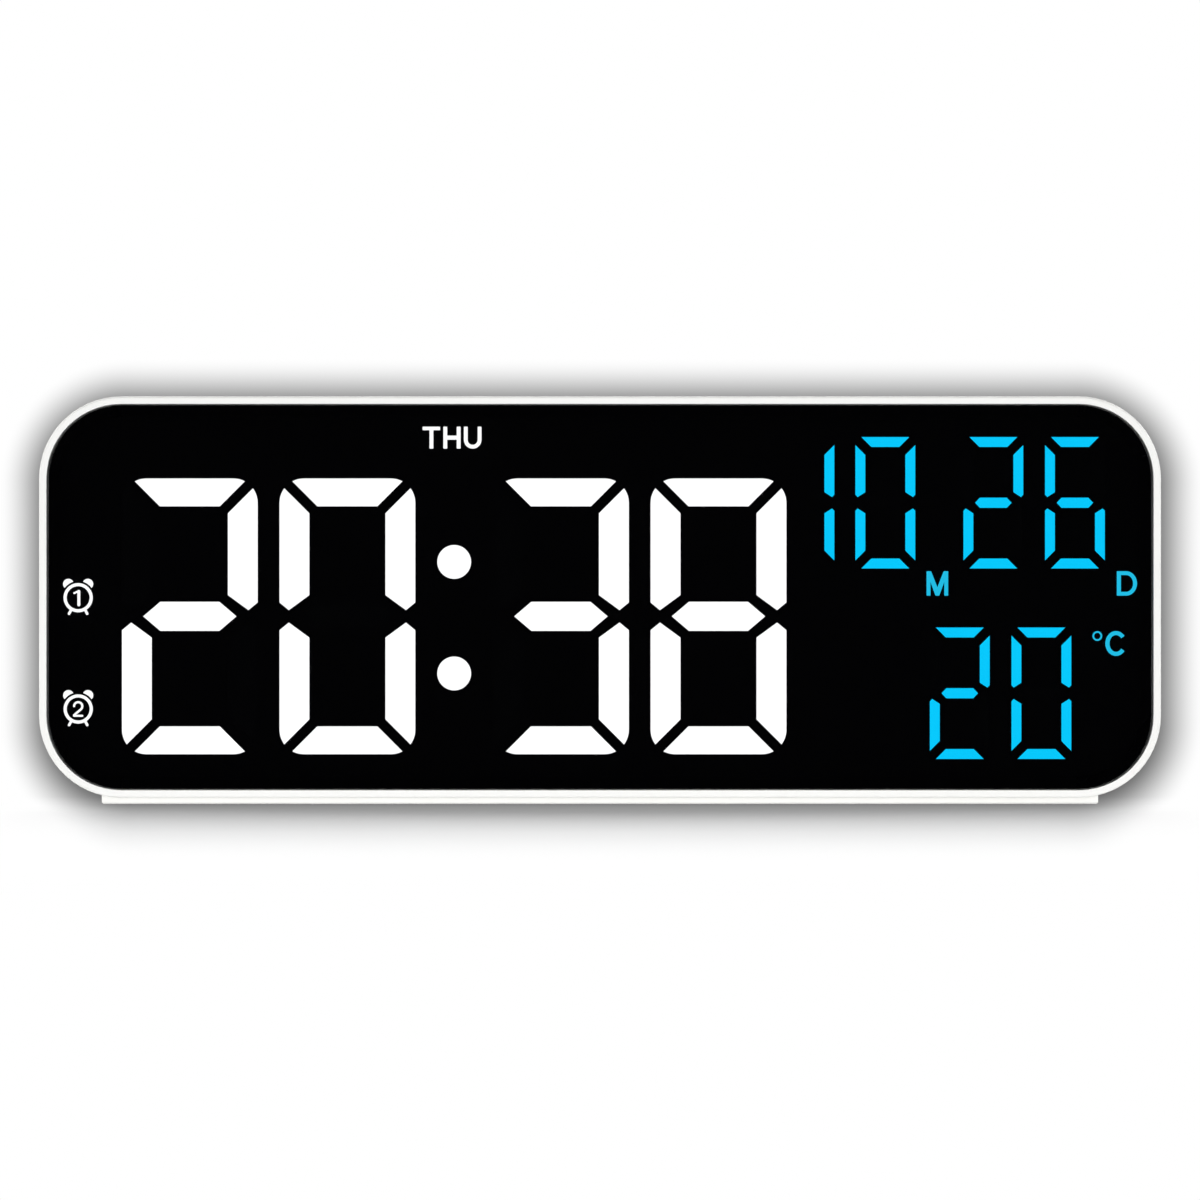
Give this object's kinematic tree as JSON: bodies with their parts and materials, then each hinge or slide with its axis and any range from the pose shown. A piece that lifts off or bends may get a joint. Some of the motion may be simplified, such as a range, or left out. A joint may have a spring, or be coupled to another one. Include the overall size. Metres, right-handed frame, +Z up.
{
  "type": "digital alarm clock",
  "caption": "Wide low desk clock with rounded white case, smoked front lens over seven-segment light box, rear keys, battery bay with hinged door and wall keyholes.",
  "frame": {"origin": "middle of the footprint, on the surface the foot stands on", "axes": "+Z up, +X to the right as seen from the front, +Y towards the back; the display faces -Y"},
  "size_m": [0.165, 0.025, 0.06],
  "materials": {
    "white_case": "satin moulded ABS",
    "smoked_lens": "polished smoked acrylic",
    "black_tape": "black adhesive tape",
    "black_film": "black printed film",
    "white_reflector": "white moulded plastic",
    "white_light": "lit diffusing resin, white",
    "cyan_light": "lit diffusing resin, cyan",
    "dark_resin": "unlit tinted resin",
    "circuit_board": "green solder mask",
    "light_chip": "light-emitting chip",
    "black_chip": "black moulded plastic",
    "steel": "nickel-plated steel",
    "grey_ribbon": "flat ribbon",
    "cell_wrap": "plain dark cell wrap",
    "red_lead": "red insulation",
    "black_lead": "black insulation",
    "grey_key": "light grey moulded keys"
  },
  "bodies": {
    "clock": {"front_housing": "white_case", "rear_cover": "white_case", "base_foot": "white_case", "front_lens": "smoked_lens", "lens_tape": "black_tape", "display_film": "black_film", "display_reflector": "white_reflector", "time_segments_lit": "white_light", "colon_dots": "white_light", "date_segments_lit": "cyan_light", "temperature_segments_lit": "cyan_light", "time_segments_dark": "dark_resin", "date_segments_dark": "dark_resin", "temperature_segments_dark": "dark_resin", "legend_diffusers": "dark_resin", "display_board": "circuit_board", "control_board": "circuit_board", "light_chips": "light_chip", "driver_chip": "black_chip", "clock_chip": "black_chip", "buzzer": "black_chip", "key_switches": "black_chip", "temperature_sensor": "black_chip", "case_screws": "steel", "control_screws": "steel", "usb_shell": "steel", "battery_contacts": "steel", "battery_springs": "steel", "crystal": "steel", "usb_tongue": "black_chip", "board_ribbon": "grey_ribbon", "battery_cells": "cell_wrap", "plus_lead": "red_lead", "minus_lead": "black_lead"},
    "set_button": {"set_key": "grey_key", "set_plunger": "black_chip"},
    "alarm_button": {"alarm_key": "grey_key", "alarm_plunger": "black_chip"},
    "up_button": {"up_key": "grey_key", "up_plunger": "black_chip"},
    "down_button": {"down_key": "grey_key", "down_plunger": "black_chip"},
    "snooze_button": {"snooze_key": "grey_key", "snooze_plunger": "black_chip"},
    "door": {"battery_door": "white_case"}
  },
  "joints": [
    {"name": "set_press", "type": "slide", "parent": "clock", "child": "set_button", "axis": [0, -1, 0], "range_m": [0, 0.0005], "stiffness_N_per_m": 400, "springref_m": -0.001},
    {"name": "alarm_press", "type": "slide", "parent": "clock", "child": "alarm_button", "axis": [0, -1, 0], "range_m": [0, 0.0005], "stiffness_N_per_m": 400, "springref_m": -0.001},
    {"name": "up_press", "type": "slide", "parent": "clock", "child": "up_button", "axis": [0, -1, 0], "range_m": [0, 0.0005], "stiffness_N_per_m": 400, "springref_m": -0.001},
    {"name": "down_press", "type": "slide", "parent": "clock", "child": "down_button", "axis": [0, -1, 0], "range_m": [0, 0.0005], "stiffness_N_per_m": 400, "springref_m": -0.001},
    {"name": "snooze_press", "type": "slide", "parent": "clock", "child": "snooze_button", "axis": [0, -1, 0], "range_m": [0, 0.0005], "stiffness_N_per_m": 400, "springref_m": -0.001},
    {"name": "door_swing", "type": "hinge", "parent": "clock", "child": "door", "pos_m": [-0.02975, 0.0117, 0.00705], "axis": [-1, 0, 0], "range_deg": [0, 70]}
  ]
}
